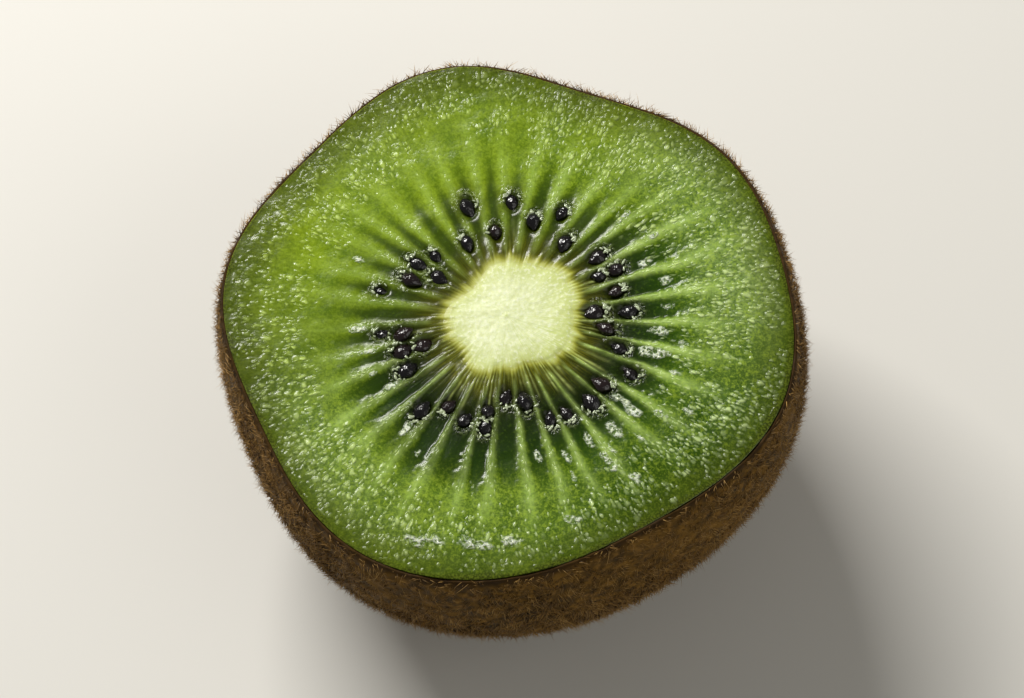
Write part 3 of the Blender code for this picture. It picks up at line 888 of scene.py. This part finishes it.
STUBBLE = 48000
WISPS = 8500
MEAN_REACH = 22 * MM
ROOT_DEPTH = 0.06 * MM
ABOVE_FLOOR = 0.02 * MM


def hair_places(count, seed):
    """Random places spread evenly over the peel, with the surface's lean there."""
    pick = np.random.default_rng(seed)
    turn, sunk = [], []
    while sum(map(len, turn)) < count:
        try_turn = pick.uniform(0, math.tau, 4 * count)
        try_way = pick.uniform(0.0, 1.0, 4 * count)
        try_depth = np.sin(try_way * sweep) ** (2 / BODY_FULLNESS)
        keep = pick.random(4 * count) < body_outline(try_turn, try_depth) * 0.88
        turn.append(try_turn[keep])
        sunk.append(try_depth[keep])
    turn, sunk = np.concatenate(turn)[:count], np.concatenate(sunk)[:count]
    out, up = peel_surface(turn, sunk)
    next_out, next_up = peel_surface(turn, np.minimum(sunk + 0.002, FOOT_SHARE + 0.001))
    lean = np.stack([up - next_up, next_out - out], -1)
    lean /= np.linalg.norm(lean, axis=-1, keepdims=True)
    return pick, turn, out, up, lean


def spikes(name, count, seed, length, thickness, bend, knots, loose):
    """Joined mesh of closed three-sided spikes that stand on the peel and bend over."""
    pick, turn, out, up, lean = hair_places(count, seed)
    east = np.stack([np.cos(turn), np.sin(turn), np.zeros(count)], -1)
    side = np.stack([-np.sin(turn), np.cos(turn), np.zeros(count)], -1)
    sky = np.array([0.0, 0.0, 1.0])
    normal = east * lean[:, :1] + sky * lean[:, 1:]
    down_hill = np.cross(side, normal)
    root = placed(turn, out, up) - normal * ROOT_DEPTH
    around, fallen = turn * MEAN_REACH, (CUT - up) * 1.2
    lay = drift(around / (1.3 * MM), fallen / (1.3 * MM), 91)
    lay = lay + 0.8 * drift(around / (4.5 * MM), fallen / (4.5 * MM), 92)
    swing = (lay * 4.0 + pick.normal(0, loose, count))[:, None]
    sway = side * np.cos(swing) + down_hill * np.sin(swing)
    tilt = pick.uniform(*bend, count)[:, None]
    grow = normal * np.cos(tilt) + sway * np.sin(tilt)
    curl = sway * pick.uniform(0.1, 0.9, count)[:, None] - down_hill * pick.uniform(0.0, 0.5, count)[:, None]
    long = pick.uniform(*length, count)[:, None] * MM * (0.75 + 0.5 * pick.random(count)[:, None])
    thick = pick.uniform(*thickness, count)[:, None] * MM
    flat = np.cross(grow, sway)
    flat /= np.linalg.norm(flat, axis=-1, keepdims=True)
    third = np.cross(grow, flat)
    rings = []
    for knot in range(knots):
        along = knot / knots
        centre = root + grow * long * along + curl * long * 0.5 * along ** 2
        for corner in range(3):
            facing = corner * math.tau / 3
            aside = flat * math.cos(facing) + third * math.sin(facing)
            rings.append(centre + aside * thick * (1 - 0.75 * along))
    tip = root + grow * long + curl * long * 0.5
    points = np.stack([*rings, tip], 1)
    points[..., 2] = np.maximum(points[..., 2], ABOVE_FLOOR)
    faces = [(0, 2, 1)]
    for knot in range(knots - 1):
        low, high = 3 * knot, 3 * knot + 3
        for corner in range(3):
            beside = (corner + 1) % 3
            faces.append((low + corner, low + beside, high + beside))
            faces.append((low + corner, high + beside, high + corner))
    last = 3 * (knots - 1)
    faces += [(last + corner, last + (corner + 1) % 3, 3 * knots) for corner in range(3)]
    size = 3 * knots + 1
    all_faces = (np.array(faces)[None] + size * np.arange(count)[:, None, None]).reshape(-1, 3)
    mesh = bpy.data.meshes.new(name)
    mesh.from_pydata(points.reshape(-1, 3).tolist(), [], all_faces.tolist())
    mesh.shade_smooth()
    up_hair = np.array([knot / knots for knot in range(knots) for _ in range(3)] + [1.0])
    clumps = 0.45 * drift(around / (0.9 * MM), fallen / (0.9 * MM), 93)
    tone = np.clip(0.5 + clumps + pick.normal(0, 0.2, count), 0, 1)
    paint(mesh, "up_hair", np.tile(up_hair, count))
    paint(mesh, "tone", np.repeat(tone, size))
    map_across = np.repeat(tone, size) * 0.9 + 0.04 + np.tile(np.arange(size) % 3, count) * 0.01
    lay_map(mesh, np.stack([map_across, np.tile(up_hair, count) * 0.96 + 0.02], -1))
    return mesh


def hair_look(name, root, middle, end):
    """Dry hair that pales from its root to its tip, each with a tone of its own."""
    look, tree, shader = new_look(name, middle, 0.6, {"IOR": 1.5})
    colour = coats(
        tree, root,
        (ramp(tree, number_of(tree, "up_hair"), 0.0, 0.8), middle),
        (ramp(tree, number_of(tree, "tone"), 0.35, 1.0, 0.0, 0.8), end),
    )
    tree.links.new(colour, shader.inputs["Base Color"])
    return look


stubble_mesh = spikes(
    "fuzz_stubble", STUBBLE, seed=21, length=(0.50, 0.90), thickness=(0.034, 0.052),
    bend=(0.35, 1.15), knots=1, loose=0.55,
)
stubble_look = hair_look("short fuzz", rgb(66, 46, 12), rgb(134, 98, 38), rgb(192, 150, 78))
add_piece("fuzz_stubble", stubble_mesh, stubble_look)
wisp_mesh = spikes(
    "fuzz_wisps", WISPS, seed=22, length=(0.6, 1.2), thickness=(0.022, 0.034),
    bend=(0.3, 1.2), knots=3, loose=1.2,
)
wisp_look = hair_look("long fuzz", rgb(84, 58, 18), rgb(156, 116, 52), rgb(208, 168, 98))
add_piece("fuzz_wisps", wisp_mesh, wisp_look)


# ---- Seeds -------------------------------------------------------------------------------------
# Hard little drops, nearly black, that lie point inwards in their pockets. The knife slid over
# most of them, so they stand half out of the flesh with a film of juice on top.

SEED_SIDES = 28
SEED_RINGS = 22

around = np.arange(SEED_SIDES) * math.tau / SEED_SIDES
along_seed = (np.arange(SEED_RINGS) + 0.5) / SEED_RINGS
drop = np.sin(math.pi * along_seed ** 0.86) ** 0.72 * (1 - 0.25 * along_seed ** 3)
lump_along = np.add.outer(along_seed * 5, around * 0)
lump_around = np.add.outer(along_seed * 0, around * 2)
drop_faces = [face[::-1] for face in closed_faces(SEED_RINGS, SEED_SIDES)]
seed_points, seed_faces, seed_tone = [], [], []
for number, (place_angle, place_reach, size) in enumerate(zip(seed_angle, seed_reach, seed_size)):
    wide = SEED_LENGTH * size * chance.uniform(0.34, 0.40)
    thick = wide * chance.uniform(0.66, 0.82)
    half = SEED_LENGTH * size / 2
    lump = 1 + 0.05 * drift(lump_along, lump_around + number * 7, 23)
    body = np.stack([
        np.broadcast_to((along_seed - 0.5)[:, None] * 2 * half, lump.shape),
        wide * drop[:, None] * np.cos(around) * lump,
        thick * drop[:, None] * np.sin(around) * lump,
    ], -1)
    ends = np.array([[-half * 1.02, 0, 0], [half, 0, 0]])
    turn = Matrix.Rotation(place_angle + math.pi + chance.normal(0, 0.22), 3, "Z")
    tip_up = Matrix.Rotation(chance.normal(0.0, 0.26), 3, "Y")
    roll = Matrix.Rotation(chance.uniform(-0.5, 0.5), 3, "X")
    spin = np.array(turn @ tip_up @ roll)
    lift = chance.uniform(-0.30, 0.12) * MM
    spot = placed(place_angle, place_reach, CUT + lift - 0.12 * MM)
    points = np.concatenate([body.reshape(-1, 3), ends]) @ spin.T + spot
    base = len(seed_points) * len(points)
    seed_faces += [[base + corner for corner in face] for face in drop_faces]
    seed_points.append(points)
    seed_tone.append(np.full(len(points), chance.random()))
seed_mesh = bpy.data.meshes.new("seeds")
seed_mesh.from_pydata(np.concatenate(seed_points).tolist(), [], seed_faces)
seed_mesh.shade_smooth()
paint(seed_mesh, "tone", np.concatenate(seed_tone))

seed_look, tree, shader = new_look("dark seed coat", rgb(26, 18, 24), 0.18, {
    "Specular IOR Level": 0.3, "Coat Weight": 0.6, "Coat Roughness": 0.06,
})
spot = place_on(tree)
pitted = step_node(
    tree, "ShaderNodeTexVoronoi", {"Vector": spot, "Scale": 5200.0}, feature="SMOOTH_F1",
).outputs["Distance"]
colour = blend(tree, ramp(tree, number_of(tree, "tone"), 0.6, 1.0), rgb(10, 8, 12), rgb(26, 14, 16))
tree.links.new(colour, shader.inputs["Base Color"])
bump = bumped(tree, times(tree, micro_noise(tree, spot, 0.35 * MM), pitted, "ADD"), 0.6, 0.10 * MM)
tree.links.new(bump, shader.inputs["Normal"])
tree.links.new(bump, shader.inputs["Coat Normal"])
add_piece("seeds", seed_mesh, seed_look)


# ---- Seed gel ----------------------------------------------------------------------------------
# Beads of clear gel torn open by the knife, which cling round the far end of most of the seeds and
# flash where the light meets them.

GEL_SIDES = 10
GEL_RINGS = 7

gel_chance = np.random.default_rng(81)
bead_points, bead_faces = [], []
ring_turn = np.arange(GEL_SIDES) * math.tau / GEL_SIDES
ring_rise = (np.arange(GEL_RINGS) + 0.5) * math.pi / GEL_RINGS
ball = np.stack([
    np.outer(np.sin(ring_rise), np.cos(ring_turn)), np.outer(np.sin(ring_rise), np.sin(ring_turn)),
    np.outer(np.cos(ring_rise), np.ones(GEL_SIDES)),
], -1).reshape(-1, 3)
ball = np.concatenate([ball, [[0, 0, 1], [0, 0, -1]]])
ball_faces = closed_faces(GEL_RINGS, GEL_SIDES)
for place_angle, place_reach, size in zip(seed_angle, seed_reach, seed_size):
    middle_turn = place_angle + gel_chance.normal(0, 0.5)
    spread = gel_chance.uniform(0.5, 1.6)
    for _ in range(int(gel_chance.integers(5, 17))):
        turn = middle_turn + gel_chance.normal(0, spread * 0.5)
        reach = gel_chance.uniform(0.92, 1.35) * SEED_LENGTH * size / 2
        squeeze = 0.72 + 0.28 * abs(math.cos(turn - place_angle))
        scale = gel_chance.uniform(0.06, 0.13) * MM * np.array([gel_chance.uniform(1.0, 2.8), 1.0, 0.6])
        spin = np.array(Matrix.Rotation(gel_chance.uniform(0, math.pi), 3, "Z"))
        level = CUT + gel_chance.uniform(-0.02, 0.06) * MM
        spot = placed(place_angle, place_reach, level)
        spot = spot + np.array([math.cos(turn), math.sin(turn), 0.0]) * reach * squeeze
        bead_faces += [[len(bead_points) * len(ball) + corner for corner in face] for face in ball_faces]
        bead_points.append((ball * scale) @ spin.T + spot)
gel_mesh = bpy.data.meshes.new("seed_gel")
gel_mesh.from_pydata(np.concatenate(bead_points).tolist(), [], bead_faces)
gel_mesh.shade_smooth()

gel_look, tree, shader = new_look("clear gel", rgb(150, 168, 120), 0.1, {
    "IOR": 1.4, "Coat Weight": 0.6, "Coat Roughness": 0.05,
})
# Green to near-white gel: the near-white stands in for the gel's glints, a painted highlight
cloudy_and_glinting = micro_noise(tree, place_on(tree), 0.5 * MM)
tree.links.new(blend(tree, cloudy_and_glinting, rgb(96, 118, 58), rgb(204, 212, 184)), shader.inputs["Base Color"])
add_piece("seed_gel", gel_mesh, gel_look)


# ---- Stalk scar --------------------------------------------------------------------------------
# The dry, corky button left in the hollow of the stem end where the stalk broke away.

SCAR_SIDES = 96

angle = np.arange(SCAR_SIDES)[None, :] * math.tau / SCAR_SIDES
scar_profile = ((0.35, 0.34), (0.8, 0.31), (1.05, 0.38), (1.2, 0.5), (1.32, 0.75), (1.42, 1.0), (1.5, 1.4))
scar_points = np.concatenate([
    placed(
        angle,
        out * MM * (1 + 0.06 * drift(angle * 17 / math.tau, angle * 0 + out * 2, 24, 17)),
        up * MM + 0.06 * MM * drift(angle * 24 / math.tau, angle * 0 + out * 4, 25, 24),
    )
    for out, up in reversed(scar_profile)
])
scar_mesh = turned_mesh("stalk_scar", scar_points, (AXIS_X, AXIS_Y, 1.5 * MM), (AXIS_X, AXIS_Y, 0.42 * MM))

scar_look, tree, shader = new_look("corky scar", rgb(84, 62, 40), 0.85)
cork = noise(tree, place_on(tree), 1400.0, 4.0)
colour = blend(tree, ramp(tree, cork, 0.4, 0.65), rgb(60, 42, 26), rgb(122, 96, 66))
tree.links.new(colour, shader.inputs["Base Color"])
tree.links.new(bumped(tree, cork, 0.8, 0.2 * MM), shader.inputs["Normal"])
add_piece("stalk_scar", scar_mesh, scar_look)


# ---- Studio ------------------------------------------------------------------------------------
# Plain pale floor, one soft key from behind, a wide weak fill, and the camera looking down on the
# face from in front.

bpy.ops.mesh.primitive_plane_add(size=3.0, location=(0, 0, 0))
floor = bpy.context.object
floor.name = "studio_floor"
floor_look, tree, shader = new_look("pale floor", rgb(214, 212, 206), 0.6)
floor.data.materials.append(floor_look)


def soft_light(name, place, aim, size, power, colour):
    """Square softbox that faces a point."""
    lamp = bpy.data.lights.new(name, "AREA")
    lamp.shape = "RECTANGLE"
    lamp.size, lamp.size_y = size
    lamp.energy = power
    lamp.color = colour
    made = bpy.data.objects.new(name, lamp)
    made.location = place
    made.rotation_euler = (Vector(aim) - Vector(place)).to_track_quat("-Z", "Y").to_euler()
    bpy.context.scene.collection.objects.link(made)


middle = (0, 0, CUT)
soft_light("key", (-0.14, 0.33, 0.40), middle, (0.30, 0.09), 3.4, (1.0, 0.98, 0.94))
soft_light("fill", (0.45, -0.35, 0.5), middle, (0.55, 0.55), 1.2, (1.0, 0.98, 0.92))

world = bpy.data.worlds.new("studio")
world.use_nodes = True
world.node_tree.nodes["Background"].inputs["Color"].default_value = (0.89, 0.87, 0.82, 1)
world.node_tree.nodes["Background"].inputs["Strength"].default_value = 0.2
bpy.context.scene.world = world
bpy.context.scene.view_settings.view_transform = "Standard"

CAMERA_TILT = math.radians(23.0)
CAMERA_ROLL = math.radians(8.5)
CAMERA_AWAY = 0.35
lens = bpy.data.cameras.new("camera")
lens.lens = 136
lens.clip_start = 0.01
camera = bpy.data.objects.new("camera", lens)
right = Vector((
    math.cos(CAMERA_ROLL),
    -math.sin(CAMERA_ROLL) * math.cos(CAMERA_TILT),
    -math.sin(CAMERA_ROLL) * math.sin(CAMERA_TILT),
))
back = Vector((0, -math.sin(CAMERA_TILT), math.cos(CAMERA_TILT)))
above = back.cross(right)
camera.matrix_world = Matrix((
    (right.x, above.x, back.x, 0), (right.y, above.y, back.y, 0), (right.z, above.z, back.z, 0), (0, 0, 0, 1),
))
camera.location = Vector((0, -0.001, CUT - 0.006)) + back * CAMERA_AWAY
bpy.context.scene.collection.objects.link(camera)
bpy.context.scene.camera = camera
